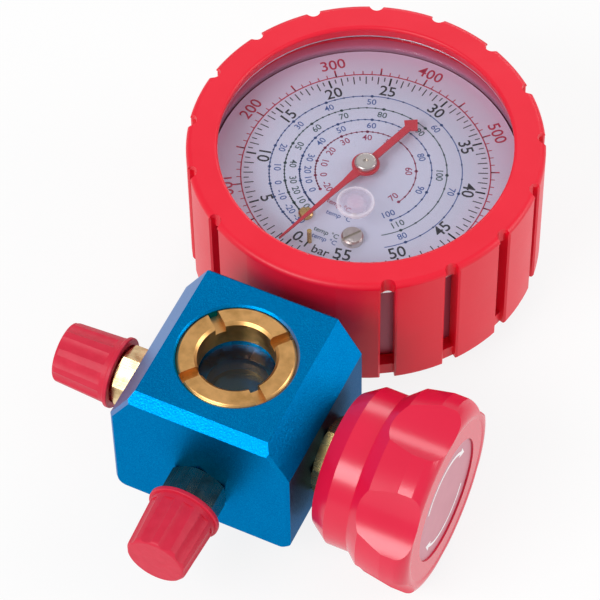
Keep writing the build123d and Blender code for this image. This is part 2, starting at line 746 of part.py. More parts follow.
# ---- port caps: moulded, flange at the mouth, fluted taper and a closed end -----------------------
def make_cap(port, name):
    mouth = adapter_hex_length + cap_gap
    flange_end = mouth + cap_flange_thickness
    cap_end = mouth + cap_length
    with BuildPart() as cap:
        with BuildSketch(axial(port)) as cap_profile:
            with BuildLine():
                Polyline(
                    (0, mouth), (cap_flange_radius, mouth), (cap_flange_radius, flange_end),
                    (cap_base_radius, flange_end), (cap_end_radius, cap_end), (0, cap_end), close=True,
                )
            make_face()
            fillet(cap_profile.vertices().group_by(Axis.Y)[-1].sort_by(Axis.X)[-1], cap_end_round)
            fillet(cap_profile.vertices().group_by(Axis.X)[-1], cap_flange_thickness / 4)
        revolve(axis=turning_axis(port))
        taper = degrees(atan2(cap_base_radius - cap_end_radius, cap_end - flange_end))
        flute_radius = (cap_flute_width / 2) ** 2 / (2 * cap_flute_depth) + cap_flute_depth / 2
        flute_start = mouth + cap_flute_start
        with BuildSketch(port.offset(flute_start)):
            with PolarLocations(cap_base_radius - cap_flute_depth + flute_radius, cap_flutes):
                Circle(flute_radius)
        extrude(amount=cap_end - flute_start + 1, taper=-taper, mode=Mode.SUBTRACT)
        with BuildSketch(port.offset(mouth)):
            Circle(flare_thread_radius + cap_thread_clearance)
        extrude(amount=cap_length - cap_end_wall, mode=Mode.SUBTRACT)
        with BuildSketch(port.offset(mouth)):
            Circle(cap_mouth_radius)
        extrude(amount=cap_mouth_depth, mode=Mode.SUBTRACT)
    finish(cap, name)


make_adapter(left_port_plane, "left_adapter")
make_adapter(front_port_plane, "front_adapter")
make_cap(left_port_plane, "left_cap")
make_cap(front_port_plane, "front_cap")

# ---- bonnet: hexagon nut screwed into the block, bored for the spindle ----------------------------
bonnet_inner_end = half - bonnet_thread_depth
with BuildPart() as bonnet:
    with BuildSketch(valve_plane.offset(bonnet_inner_end)):
        Circle(bonnet_thread_radius)
    extrude(amount=bonnet_thread_depth)
    hexagon(valve_plane.offset(half), bonnet_flats, bonnet_hex_thickness, bonnet_bevel)
    with BuildSketch(valve_plane.offset(bonnet_inner_end)):
        Circle(spindle_thread_radius + running_clearance)
    extrude(amount=spindle_thread_end + valve_lift + 1 - bonnet_inner_end, mode=Mode.SUBTRACT)
    with BuildSketch(valve_plane.offset(bonnet_inner_end)):
        Circle(spindle_radius + running_clearance)
    extrude(amount=bonnet_thread_depth + bonnet_hex_thickness, mode=Mode.SUBTRACT)
finish(bonnet, "bonnet")

# ---- spindle: threaded in the bonnet, with a square end for the handwheel -------------------------
square_start = wheel_back + wheel_hub_lead
with BuildPart() as spindle:
    with BuildSketch(valve_plane.offset(seat_x + seat_tip_length)):
        Circle(seat_tip_radius)
    extrude(amount=spindle_nose_length)
    with BuildSketch(valve_plane.offset(seat_x + seat_tip_length + spindle_nose_length)):
        Circle(spindle_thread_radius)
    extrude(amount=spindle_thread_end - seat_x - seat_tip_length - spindle_nose_length)
    with BuildSketch(valve_plane.offset(spindle_thread_end)):
        Circle(spindle_radius)
    extrude(amount=square_start - spindle_thread_end)
    with BuildSketch(valve_plane.offset(square_start)):
        Rectangle(spindle_square, spindle_square)
    extrude(amount=spindle_square_length)
    with BuildSketch(valve_plane.offset(square_start + spindle_square_length)):
        Circle(wheel_screw_radius)
    extrude(amount=-wheel_screw_length, mode=Mode.SUBTRACT)
finish(spindle, "spindle")

# ---- seat tip: soft plug that closes the port and doesn't turn with the spindle -------------------
with BuildPart() as seat_tip:
    with BuildSketch(axial(valve_plane)):
        with BuildLine():
            Polyline(
                (0, seat_x - seat_cone_length), (seat_cone_radius, seat_x - seat_cone_length),
                (passage_radius - running_clearance, seat_x), (seat_tip_radius, seat_x),
                (seat_tip_radius, seat_x + seat_tip_length), (0, seat_x + seat_tip_length), close=True,
            )
        make_face()
    revolve(axis=turning_axis(valve_plane))
finish(seat_tip, "seat_tip")

# ---- handwheel: round skirt, sloping shoulder and a grip with scallops between its lobes ----------
with BuildPart() as handwheel:
    skirt_end = wheel_back + wheel_skirt_length
    shoulder_end = skirt_end + wheel_shoulder_length
    rise_end = shoulder_end + wheel_grip_rise
    grip_end = shoulder_end + wheel_grip_length
    with BuildSketch(axial(valve_plane)):
        with BuildLine():
            Polyline(
                (0, wheel_back), (wheel_skirt_bevel_radius, wheel_back),
                (wheel_skirt_radius, wheel_back + wheel_skirt_bevel_length),
                (wheel_skirt_radius, skirt_end), (wheel_shoulder_radius, shoulder_end),
                (wheel_grip_radius, rise_end), (wheel_grip_radius, grip_end),
            )
            front_start = Vector(wheel_grip_radius, grip_end)
            front_end = Vector(wheel_face_radius, wheel_face)
            SagittaArc(front_start, front_end, -wheel_front_bulge)
            Polyline((wheel_face_radius, wheel_face), (0, wheel_face), (0, wheel_back))
        make_face()
    revolve(axis=turning_axis(valve_plane))
    with BuildSketch(valve_plane.offset(skirt_end)):
        scallop_centre = wheel_grip_radius - scallop_depth + scallop_radius
        with PolarLocations(scallop_centre, wheel_lobes, start_angle=wheel_lobe_angle / 2 + wheel_rest_turn):
            Circle(scallop_radius)
    extrude(amount=wheel_face - skirt_end + 1, mode=Mode.SUBTRACT)
    with BuildSketch(valve_plane.offset(wheel_face)):
        Circle(cover_radius + fit_clearance)
    extrude(amount=-cover_recess_depth, mode=Mode.SUBTRACT)
    with BuildSketch(valve_plane.offset(wheel_face)):
        Circle(wheel_screw_pocket_radius)
    extrude(amount=square_start + spindle_square_length - wheel_face, mode=Mode.SUBTRACT)
    with BuildSketch(valve_plane.offset(wheel_back)):
        Circle(wheel_cavity_outer)
        Circle(wheel_cavity_inner, mode=Mode.SUBTRACT)
    extrude(amount=wheel_cavity_depth, mode=Mode.SUBTRACT)
    with BuildSketch(valve_plane.offset(wheel_back)):
        Circle(spindle_radius + fit_clearance)
    extrude(amount=square_start - wheel_back, mode=Mode.SUBTRACT)
    with BuildSketch(valve_plane.offset(square_start)):
        Rectangle(spindle_square + 2 * fit_clearance, spindle_square + 2 * fit_clearance)
    extrude(amount=spindle_square_length, mode=Mode.SUBTRACT)
finish(handwheel, "handwheel")

# ---- handwheel screw and the cover disc over it ---------------------------------------------------
screw_seat = square_start + spindle_square_length
with BuildPart() as wheel_screw:
    with BuildSketch(valve_plane.offset(screw_seat)):
        Circle(wheel_screw_radius - fit_clearance)
    extrude(amount=thread_clearance - wheel_screw_length)
    with BuildSketch(valve_plane.offset(screw_seat)):
        Circle(wheel_screw_head_radius)
    extrude(amount=wheel_screw_head_height)
    fillet(wheel_screw.edges().group_by(Axis.X)[-1], wheel_screw_head_height / 3)
finish(wheel_screw, "wheel_screw")

with BuildPart() as wheel_cover:
    with BuildSketch(valve_plane.offset(wheel_face - cover_recess_depth)):
        Circle(cover_radius)
    extrude(amount=cover_thickness)
finish(wheel_cover, "wheel_cover")
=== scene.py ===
from math import cos, pi, radians, sin

import bpy
from mathutils import Matrix, Vector


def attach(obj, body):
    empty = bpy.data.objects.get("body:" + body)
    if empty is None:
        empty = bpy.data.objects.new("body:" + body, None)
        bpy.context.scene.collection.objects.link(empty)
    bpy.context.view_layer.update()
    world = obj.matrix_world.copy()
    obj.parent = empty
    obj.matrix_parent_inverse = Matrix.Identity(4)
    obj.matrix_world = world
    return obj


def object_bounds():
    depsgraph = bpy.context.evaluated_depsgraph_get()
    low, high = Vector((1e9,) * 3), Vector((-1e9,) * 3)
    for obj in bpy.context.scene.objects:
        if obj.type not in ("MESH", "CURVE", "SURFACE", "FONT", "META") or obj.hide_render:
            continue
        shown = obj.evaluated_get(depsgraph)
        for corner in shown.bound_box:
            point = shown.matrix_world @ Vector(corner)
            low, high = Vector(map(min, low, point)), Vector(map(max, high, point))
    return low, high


# The manifold gauge, dressed piece by piece in the order in which it is put together. All sizes are in
# metres, in the gauge's own frame: the case's back at z = 0, the dial facing +Z, the handwheel on +X.
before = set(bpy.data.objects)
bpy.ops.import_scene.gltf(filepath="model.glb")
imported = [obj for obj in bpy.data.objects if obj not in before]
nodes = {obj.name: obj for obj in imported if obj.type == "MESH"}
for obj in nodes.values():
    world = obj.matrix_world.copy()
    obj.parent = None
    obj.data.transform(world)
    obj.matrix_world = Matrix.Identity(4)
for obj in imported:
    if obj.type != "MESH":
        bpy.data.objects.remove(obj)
cad_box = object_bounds()

# ---- Camera ---------------------------------------------------------------------------------------
# A long lens looks down on the gauge from the right front, over the block and the handwheel.
camera_data = bpy.data.cameras.new("camera")
camera_data.sensor_width = 36.0
camera_data.lens = 207.52
camera_data.clip_start, camera_data.clip_end = 0.05, 20.0
camera = bpy.data.objects.new("camera", camera_data)
bpy.context.scene.collection.objects.link(camera)
camera_place = (0.220068, -0.481805, 0.706329)
looking = Vector((-0.25941, 0.52271, -0.81209)).normalized()
rightwards = Vector((0.90312, 0.42922, -0.01221)).normalized()
upwards = (-looking).cross(rightwards)
turn = Matrix((rightwards, upwards, -looking)).transposed().to_4x4()
camera.matrix_world = Matrix.Translation(camera_place) @ turn
bpy.context.scene.camera = camera


# ---- Manifold block -------------------------------------------------------------------------------
# A sawn bar of aluminium, milled, bead-blasted and dyed blue in the anodising bath. The blasted grain
# glitters where a bevel faces the light. The left side carries a painted pale lilac reflection of the
# room, the right side is painted dark as shade behind the handwheel, and the chamber under the glass is
# a darker grey-blue.
def operator(operation):
    """An operator and its reflected form, each of which adds one Math node."""
    return (
        lambda self, other: self.wiring.maths(operation, self, other),
        lambda self, other: self.wiring.maths(operation, other, self),
    )


class Wire:
    """One value, vector or colour in a node tree. Arithmetic on it adds the nodes that do the sum."""

    __add__, __radd__ = operator("ADD")
    __sub__, __rsub__ = operator("SUBTRACT")
    __mul__, __rmul__ = operator("MULTIPLY")
    __truediv__, __rtruediv__ = operator("DIVIDE")
    __pow__, __rpow__ = operator("POWER")

    def __init__(self, wiring, socket):
        self.wiring, self.socket = wiring, socket

    def below(self, level):
        return self.wiring.maths("LESS_THAN", self, level)

    def above(self, level):
        return self.wiring.maths("GREATER_THAN", self, level)

    def larger(self, other):
        return self.wiring.maths("MAXIMUM", self, other)

    def cosine(self):
        return self.wiring.maths("COSINE", self)

    def sine(self):
        return self.wiring.maths("SINE", self)

    def clamp(self):
        return self.wiring.wire("ShaderNodeClamp", {"Value": self})


class Wiring:
    """A node tree, with one method that makes its nodes."""

    def __init__(self, tree):
        self.tree = tree
        tree.nodes.clear()

    def node(self, kind, inputs=None, stops=(), **settings):
        """A node: its settings or a ramp's stops first, then the values or wires of its sockets."""
        made = self.tree.nodes.new(kind)
        for name, value in settings.items():
            setattr(made, name, value)
        if stops:
            elements = made.color_ramp.elements
            while len(elements) < len(stops):
                elements.new(0.5)
            for element, (place, colour) in zip(elements, stops):
                element.position = place
                element.color = (*colour, 1.0)
        for name, value in (inputs or {}).items():
            if isinstance(value, Wire):
                self.tree.links.new(value.socket, made.inputs[name])
            else:
                made.inputs[name].default_value = value
        return made

    def wire(self, kind, inputs=None, output=0, **settings):
        return Wire(self, self.node(kind, inputs, **settings).outputs[output])

    def maths(self, operation, *values):
        return self.wire("ShaderNodeMath", dict(enumerate(values)), operation=operation)

    def split(self, vector):
        return [Wire(self, part) for part in self.node("ShaderNodeSeparateXYZ", {0: vector}).outputs]

    def mix(self, share, first, second):
        """One shader that goes over into another."""
        return self.wire("ShaderNodeMixShader", {0: share, 1: first, 2: second})


class Finish(Wiring):
    """One surface finish: a material whose patterns follow the piece's own coordinates."""

    def __init__(self, name):
        self.material = bpy.data.materials.new(name)
        self.material.use_nodes = True
        super().__init__(self.material.node_tree)
        self.place = self.wire("ShaderNodeTexCoord", output="Object")

    def noise(self, size, detail=3.0, stretch=(1, 1, 1)):
        """Fractal noise whose lumps are about `size` metres, between 0 and 1."""
        spread = self.wire("ShaderNodeMapping", {"Vector": self.place, "Scale": stretch})
        return self.wire("ShaderNodeTexNoise", {"Vector": spread, "Scale": 1.0 / size, "Detail": detail})

    def lines(self, value, detail):
        """Fractal noise along one value, for marks that run across it."""
        inputs = {"W": value, "Scale": 1.0, "Detail": detail}
        return self.wire("ShaderNodeTexNoise", inputs, noise_dimensions="1D")

    def about(self, centre, axis):
        """The distance from the axis ("X", "Y" or "Z") through a centre, and the place along it."""
        moved = self.wire("ShaderNodeVectorMath", {0: self.place, 1: centre}, operation="SUBTRACT")
        parts = self.split(moved)
        along = parts.pop("XYZ".index(axis))
        return (parts[0] * parts[0] + parts[1] * parts[1]) ** 0.5, along

    def blend(self, share, first, second):
        """One colour that goes over into another. The Mix node keeps its colours in sockets 6 and 7."""
        first, second = ((*end, 1.0) if isinstance(end, tuple) else end for end in (first, second))
        inputs = {0: share, 6: first, 7: second}
        return self.wire("ShaderNodeMix", inputs, output=2, data_type="RGBA")

    def steps(self, value, *stops):
        """A colour or a grey that follows `value` through (place, colour) stops."""
        return self.wire("ShaderNodeValToRGB", {"Fac": value}, stops=stops)

    def bump(self, height, depth, strength=1.0):
        return self.wire("ShaderNodeBump", {"Height": height, "Distance": depth, "Strength": strength})

    def principled(self, **inputs):
        named = {}
        for name, value in inputs.items():
            if isinstance(value, tuple):
                value = (*value, 1.0)
            named[name.replace("_", " ").title().replace("Ior", "IOR")] = value
        return self.wire("ShaderNodeBsdfPrincipled", named)

    def cover(self, shader):
        self.node("ShaderNodeOutputMaterial", {"Surface": shader})

    def shade(self, **inputs):
        self.cover(self.principled(**inputs))


def wear(node_name, finish):
    """A CAD node takes the finish in every slot."""
    for slot in nodes[node_name].material_slots:
        slot.material = finish.material


sight_axis = (0.0, -0.0726, 0.0)
chamber_radius, glass_level = 0.0092, 0.0215
anodised = Finish("blue_anodised_aluminium")
cloud = anodised.noise(0.012, 4.0)
grain = anodised.noise(0.00022, 2.0)
sparkle = anodised.noise(0.00045, 1.0)
coarse = anodised.noise(0.0006, 2.0)
milling = anodised.noise(0.0011, 2.0, stretch=(0.05, 1, 1))
blue = anodised.blend(cloud, (0.0, 0.15, 0.42), (0.0, 0.19, 0.49))
blue = anodised.blend(((grain - 0.5) * 2.2 + 0.1).clamp(), blue, (0.0, 0.36, 0.72))
reach, height = anodised.about(sight_axis, "Z")
blue = anodised.blend(reach.below(chamber_radius) * height.below(glass_level), blue, (0.06, 0.125, 0.17))
facing_right = anodised.split(anodised.wire("ShaderNodeNewGeometry", output="Normal"))[0]
# Painted reflection: faces turned towards -X are made pale lilac, as the bright room would light them.
painted_reflection_left = (facing_right * -1.4 - 0.3).clamp()
blue = anodised.blend(painted_reflection_left * 0.75, blue, (0.46, 0.42, 0.62))
# Painted shade: faces turned towards +X are made nearly black, as they lie behind the handwheel.
painted_shade_right = (facing_right * 8.0 - 7.0).clamp()
blue = anodised.blend(painted_shade_right * 0.7, blue, (0.07, 0.045, 0.11))
anodised.shade(
    base_color=blue,
    metallic=1.0,
    specular_tint=(0.45, 0.7, 0.9),
    roughness=(coarse * 0.14 + 0.33).clamp(),
    normal=anodised.bump(grain * 0.8 + milling * 0.2 + sparkle * 1.2, 0.00005, 0.8),
)
wear("manifold_block", anodised)


# ---- Gauge stem, adapters and valve brass ---------------------------------------------------------
# Bar brass turned on a lathe: fine rings run round each piece's own axis, with faint tool marks across
# its length. Handling has browned it here and there, and the front adapter is darker all over.
def brass(
    name, centre, axis, light=(0.72, 0.47, 0.19), dark=(0.36, 0.2, 0.06), rough=0.24, ring_depth=0.00002
):
    """Turned brass whose lathe rings run round the axis ("X", "Y" or "Z") through `centre`."""
    rings_per_metre, strokes_per_metre = 5200.0, 4200.0
    finish = Finish(name)
    radius, along = finish.about(centre, axis)
    rings = finish.lines(radius * rings_per_metre, 3.0)
    strokes = finish.lines(along * strokes_per_metre, 2.0)
    tarnish = finish.noise(0.0035, 4.0)
    browned = finish.steps(tarnish, (0.42, (0, 0, 0)), (0.78, (1, 1, 1)))
    finish.shade(
        base_color=finish.blend(browned, light, dark),
        metallic=1.0,
        roughness=(rings * 0.14 + tarnish * 0.12 + rough - 0.1).clamp(),
        normal=finish.bump(rings * 0.8 + strokes * 0.2, ring_depth, 0.35),
    )
    return finish


stem_axis = (0.0, 0.0, 0.0123)
valve_axis = (0.0, -0.0732, 0.0123)
left_brass = brass("left_adapter_brass", valve_axis, "X", light=(0.86, 0.66, 0.36), rough=0.2)
front_brass = brass(
    "front_adapter_brass", stem_axis, "Y", light=(0.30, 0.25, 0.18), dark=(0.12, 0.10, 0.07)
)
wear("socket", brass("stem_brass", stem_axis, "Y"))
wear("left_adapter", left_brass)
wear("front_adapter", front_brass)
wear("bonnet", brass("bonnet_brass", valve_axis, "X", light=(0.6, 0.47, 0.2)))
wear("spindle", brass("spindle_brass", valve_axis, "X"))

# ---- Valve seat tip -------------------------------------------------------------------------------
# A turned plug of white fluoropolymer that closes the passage and doesn't turn with the spindle.
seat_plastic = Finish("seat_plastic")
seat_plastic.shade(
    base_color=seat_plastic.blend(seat_plastic.noise(0.002), (0.78, 0.77, 0.74), (0.86, 0.86, 0.84)),
    roughness=0.45,
)
wear("seat_tip", seat_plastic)

# ---- Sight glass ----------------------------------------------------------------------------------
# A disc of clear glass on a soft seal over the block's chamber, held down by a turned brass ring whose
# four slots take a pin spanner. The ring's top keeps the lathe's rings, deeper than on the other brass.
retainer_brass = brass(
    "retainer_brass", sight_axis, "Z",
    light=(0.84, 0.46, 0.17), dark=(0.5, 0.26, 0.08), rough=0.3, ring_depth=0.00007,
)
wear("sight_retainer", retainer_brass)
seal_rubber = Finish("seal_rubber")
seal_rubber.shade(
    base_color=seal_rubber.blend(seal_rubber.noise(0.001), (0.01, 0.014, 0.012), (0.03, 0.045, 0.035)),
    roughness=0.35,
)
wear("sight_seal", seal_rubber)


def clear(name, tint, gloss):
    """Clear sheet: light goes straight through, and the surface shines more at a glancing angle."""
    finish = Finish(name)
    through = finish.wire("ShaderNodeBsdfTransparent", {"Color": (*tint, 1.0)})
    glancing = finish.wire("ShaderNodeLayerWeight", {"Blend": 0.25}, output="Fresnel")
    shiny = finish.wire("ShaderNodeBsdfGlossy", {"Roughness": 0.02, "Color": (1, 1, 1, 1)})
    finish.cover(finish.mix((glancing * gloss).clamp(), through, shiny))
    return finish


wear("sight_glass", clear("sight_window", (0.86, 0.95, 0.93), 1.1))

# ---- Handwheel ------------------------------------------------------------------------------------
# Injection-moulded plastic in signal red, glossy from the polished mould, with lobes to grip and a
# printed disc pressed into its face. A steel screw under the disc holds it to the spindle.
wheel_plastic = Finish("handwheel_plastic")
swirl = wheel_plastic.noise(0.02, 1.0)
scuffs = wheel_plastic.noise(0.0012, 4.0)
wheel_plastic.shade(
    base_color=wheel_plastic.blend(swirl, (0.68, 0.004, 0.040), (0.76, 0.010, 0.055)),
    roughness=(scuffs * 0.06 + 0.19).clamp(),
    specular_ior_level=0.52,
    normal=wheel_plastic.bump(swirl, 0.00012, 0.2),
)
wear("handwheel", wheel_plastic)

nickel = Finish("nickel_plate")
brushing = nickel.noise(0.0009, 2.0)
nickel.shade(
    base_color=nickel.blend(brushing, (0.66, 0.60, 0.53), (0.76, 0.70, 0.63)),
    metallic=1.0,
    roughness=(brushing * 0.1 + 0.26).clamp(),
    normal=nickel.bump(brushing, 0.00001, 0.15),
)
wear("wheel_screw", nickel)

label_disc = Finish("label_disc")
label_disc.shade(
    base_color=label_disc.blend(label_disc.noise(0.004, 4.0), (0.55, 0.19, 0.25), (0.63, 0.25, 0.31)),
    roughness=0.4,
)
wear("wheel_cover", label_disc)
white_ink = Finish("white_ink")
white_ink.shade(
    base_color=white_ink.blend(white_ink.noise(0.0005), (0.9, 0.86, 0.87), (0.97, 0.95, 0.96)),
    roughness=0.4,
)
ink_film = 0.00003
label_face = nodes["wheel_cover"].bound_box[6][0] + ink_film
label_centre = Vector(valve_axis)
arrow_radius, arrow_width, arrow_head = 0.0118, 0.0009, 0.0026


def turning_arrow(name, start, end):
    """A printed arc from one angle to another (degrees from +Y towards +Z) that ends in an arrowhead."""
    corners, faces, count = [], [], 40
    for step in range(count + 1):
        angle = radians(start + (end - start) * step / count)
        for away in (arrow_radius - arrow_width / 2, arrow_radius + arrow_width / 2):
            corners.append(label_centre + Vector((label_face, away * cos(angle), away * sin(angle))))
    for step in range(count):
        faces.append((2 * step, 2 * step + 2, 2 * step + 3, 2 * step + 1))
    angle, sign = radians(end), (1 if end > start else -1)
    along = Vector((0, -sin(angle), cos(angle))) * sign
    outward = Vector((0, cos(angle), sin(angle)))
    tip = label_centre + Vector((label_face, 0, 0)) + outward * arrow_radius
    first = len(corners)
    half_width = outward * arrow_head * 0.5
    corners += [tip + half_width, tip - half_width, tip + along * arrow_head * 1.2]
    faces.append((first, first + 1, first + 2))
    mesh = bpy.data.meshes.new(name)
    mesh.from_pydata(corners, [], faces)
    mesh.materials.append(white_ink.material)
    piece = bpy.data.objects.new(name, mesh)
    bpy.context.scene.collection.objects.link(piece)
    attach(piece, "valve_wheel")


turning_arrow("open_arrow", 146.0, 42.0)
turning_arrow("close_arrow", -34.0, -138.0)

# ---- Port caps ------------------------------------------------------------------------------------
# Soft moulded caps screwed over the flare fittings, a little duller than the handwheel, with the faint
# ripple of a cheap mould between the flutes.
cap_plastic = Finish("cap_plastic")
ripple = cap_plastic.noise(0.0025, 3.0)
dust = cap_plastic.noise(0.0004, 2.0)
cap_plastic.shade(
    base_color=cap_plastic.blend(ripple, (0.58, 0.012, 0.040), (0.68, 0.026, 0.062)),
    roughness=(dust * 0.14 + 0.36).clamp(),
    specular_ior_level=0.26,
    normal=cap_plastic.bump(ripple, 0.0003, 0.35),
)
wear("left_cap", cap_plastic)
wear("front_cap", cap_plastic)

# ---- Gauge case, bezel and movement ---------------------------------------------------------------
# The case is a drawn steel cup, closed by a plated bezel ring. Its colour is a painted reflection of the
# red rubber round it: plum outside, and pink rising to red up the inside wall over the dial. The movement
# inside is brass plates and gears, with a bronze tube that uncurls as the pressure rises.
case_axis = (0.0, 0.0, 0.0)
case_bore, painted_reflection_floor, dial_rim, wall_height = 0.0396, 0.0235, 0.024, 0.005
case_steel = Finish("case_steel")
reach, height = case_steel.about(case_axis, "Z")
# Painted reflection: inside the bore above the dial the wall goes from pink to red, as the rubber's light
# would tint it.
inside = reach.below(case_bore) * height.above(painted_reflection_floor)
painted_reflection_up_the_wall = case_steel.steps(
    (height - dial_rim) / wall_height,
    (0.0, (0.72, 0.42, 0.56)),
    (0.4, (0.72, 0.16, 0.24)),
    (1.0, (0.6, 0.04, 0.08)),
)
# Painted reflection: outside the bore the steel is coloured plum, for the red rubber that it mirrors.
case_steel.shade(
    base_color=case_steel.blend(inside, (0.34, 0.05, 0.10), painted_reflection_up_the_wall),
    metallic=0.3,
    roughness=(case_steel.noise(0.0008) * 0.15 + 0.26).clamp(),
)
wear("case", case_steel)
plated = Finish("plated_bezel")
plated.shade(
    base_color=(0.75, 0.74, 0.76),
    metallic=1.0,
    roughness=(plated.noise(0.0009) * 0.12 + 0.14).clamp(),
)
wear("bezel", plated)
movement_brass = brass("movement_brass", case_axis, "Z")
for name in ("movement_frame", "sector_gear", "bourdon_tube", "tube_tip", "dial_screw", "stop_post"):
    wear(name, movement_brass)
for name in ("pinion_arbor", "adjuster", "pointer_cap"):
    wear(name, nickel)

# ---- Dial and its printing ------------------------------------------------------------------------
# An aluminium disc in white lacquer, with a painted pink reflection of the boot towards its rim. It is
# screen-printed: a bar scale in black, a psi scale in red round it, and four temperature scales inside.
painted_glow_start, painted_glow_width = 0.026, 0.014
dial_lacquer = Finish("dial_lacquer")
reach = dial_lacquer.about(case_axis, "Z")[0]
# Painted reflection: the white goes pink towards the rim, as light from the red boot would tint it.
painted_pink_glow = dial_lacquer.steps((reach - painted_glow_start) / painted_glow_width, (0.0, (0, 0, 0)), (1.0, (1, 1, 1)))
mottle = dial_lacquer.noise(0.015, 3.0)
white = dial_lacquer.blend(mottle, (0.70, 0.72, 0.86), (0.75, 0.76, 0.89))
dial_lacquer.shade(
    base_color=dial_lacquer.blend(painted_pink_glow * 0.66, white, (0.98, 0.74, 0.92)),
    roughness=(dial_lacquer.noise(0.0006) * 0.1 + 0.4).clamp(),
)
wear("dial", dial_lacquer)

# The print's height over the case's back, and the scale in degrees: where 0 bar lies from +X, and how
# far one bar goes on clockwise.
ink_level = 0.02403
zero_bar = -106.1
bar_step = 6.06


def ink(name, colour):
    """Printing ink that is a little lighter where it went on thin."""
    finish = Finish(name)
    thin = tuple(min(1.0, part * 1.25 + 0.02) for part in colour)
    finish.shade(base_color=finish.blend(finish.noise(0.0003, 2.0), colour, thin), roughness=0.45)
    return finish


black_ink = ink("black_ink", (0.012, 0.011, 0.02))
red_ink = ink("red_ink", (0.50, 0.015, 0.07))
blue_ink = ink("blue_ink", (0.06, 0.12, 0.34))
green_ink = ink("green_ink", (0.04, 0.09, 0.1))
crimson_ink = ink("crimson_ink", (0.34, 0.03, 0.1))


def on_the_dial(name, mesh):
    """A plain mesh becomes a piece of the dial's print."""
    piece = bpy.data.objects.new(name, mesh)
    bpy.context.scene.collection.objects.link(piece)
    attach(piece, "manifold")


def printed(name, seed, tree, finish, values):
    """Runs a Geometry Nodes tree on a seed mesh and keeps the result as a plain piece on the dial."""
    values = {**values, "Ink": finish.material}
    maker = bpy.data.objects.new(name + "_maker", seed)
    bpy.context.scene.collection.objects.link(maker)
    modifier = maker.modifiers.new("print", "NODES")
    modifier.node_group = tree
    for item in tree.interface.items_tree:
        if item.item_type == "SOCKET" and item.in_out == "INPUT" and item.name in values:
            modifier[item.identifier] = values[item.name]
    bpy.context.view_layer.update()
    mesh = bpy.data.meshes.new_from_object(maker.evaluated_get(bpy.context.evaluated_depsgraph_get()))
    mesh.name = name
    bpy.data.objects.remove(maker)
    on_the_dial(name, mesh)


class Tree(Wiring):
    """A Geometry Nodes tree with named inputs, the last of which is the ink it prints in."""

    def __init__(self, name, **inputs):
        super().__init__(bpy.data.node_groups.new(name, "GeometryNodeTree"))
        face = self.tree.interface
        for label, kind in {"Geometry": "Geometry", **inputs, "Ink": "Material"}.items():
            face.new_socket(label.replace("_", " "), in_out="INPUT", socket_type="NodeSocket" + kind)
        face.new_socket("Geometry", in_out="OUTPUT", socket_type="NodeSocketGeometry")
        self.source = self.node("NodeGroupInput")

    def input(self, label):
        return Wire(self, self.source.outputs[label])

    def polar(self, radius, angle):
        """A place on the dial, at a distance and an angle from its middle."""
        parts = {0: radius * angle.cosine(), 1: radius * angle.sine(), 2: self.input("Level")}
        return self.wire("ShaderNodeCombineXYZ", parts)

    def close(self, geometry):
        real = self.wire("GeometryNodeRealizeInstances", {0: geometry})
        inked = self.wire("GeometryNodeSetMaterial", {"Geometry": real, "Material": self.input("Ink")})
        self.node("NodeGroupOutput", {0: inked})
        return self.tree


ticks = Tree(
    "scale_ticks", Count="Int", First_angle="Float", Step="Float",
    Inner_radius="Float", Length="Float", Width="Float", Level="Float",
)
points = ticks.wire("GeometryNodePoints", {"Count": ticks.input("Count")})
angle = ticks.input("First angle") + ticks.wire("GeometryNodeInputIndex") * ticks.input("Step")
middle = ticks.input("Inner radius") + ticks.input("Length") * 0.5
placed = ticks.wire("GeometryNodeSetPosition", {"Geometry": points, "Position": ticks.polar(middle, angle)})
bar = ticks.wire(
    "GeometryNodeMeshGrid",
    {"Size X": ticks.input("Length"), "Size Y": ticks.input("Width"), "Vertices X": 2, "Vertices Y": 2},
)
facing = ticks.wire("ShaderNodeCombineXYZ", {2: angle})
copies = ticks.wire("GeometryNodeInstanceOnPoints", {"Points": placed, "Instance": bar, "Rotation": facing})
tick_tree = ticks.close(copies)

arc = Tree("scale_arc", First_angle="Float", Sweep="Float", Radius="Float", Width="Float", Level="Float")
strip = arc.wire("GeometryNodeMeshGrid", {"Size X": 1.0, "Size Y": 1.0, "Vertices X": 181, "Vertices Y": 2})
here = arc.split(arc.wire("GeometryNodeInputPosition"))
turned = arc.input("First angle") + (here[0] + 0.5) * arc.input("Sweep")
out_to = arc.input("Radius") - here[1] * arc.input("Width")
bent = arc.wire("GeometryNodeSetPosition", {"Geometry": strip, "Position": arc.polar(out_to, turned)})
arc_tree = arc.close(bent)

dots = Tree("scale_dots", Radius="Float")
disc = dots.wire(
    "GeometryNodeMeshCircle", {"Vertices": 12, "Radius": dots.input("Radius")}, fill_type="NGON"
)
spread = dots.wire("GeometryNodeInstanceOnPoints", {"Points": dots.input("Geometry"), "Instance": disc})
dot_tree = dots.close(spread)


def bar_angle(bar_value):
    return radians(zero_bar - bar_step * bar_value)


def tick_row(name, finish, count, first, step, inner, length, width):
    """Ticks from the `first` bar value on, one every `step` bar, each `length` long from radius `inner`."""
    printed(name, bpy.data.meshes.new(name + "_seed"), tick_tree, finish, {
        "Count": count, "First angle": bar_angle(first), "Step": -radians(bar_step * step),
        "Inner radius": inner, "Length": length, "Width": width, "Level": ink_level,
    })


def arc_line(name, finish, first, last, radius, width):
    """A circle line from one bar value to another."""
    printed(name, bpy.data.meshes.new(name + "_seed"), arc_tree, finish, {
        "First angle": bar_angle(first), "Sweep": -radians(bar_step * (last - first)),
        "Radius": radius, "Width": width, "Level": ink_level,
    })


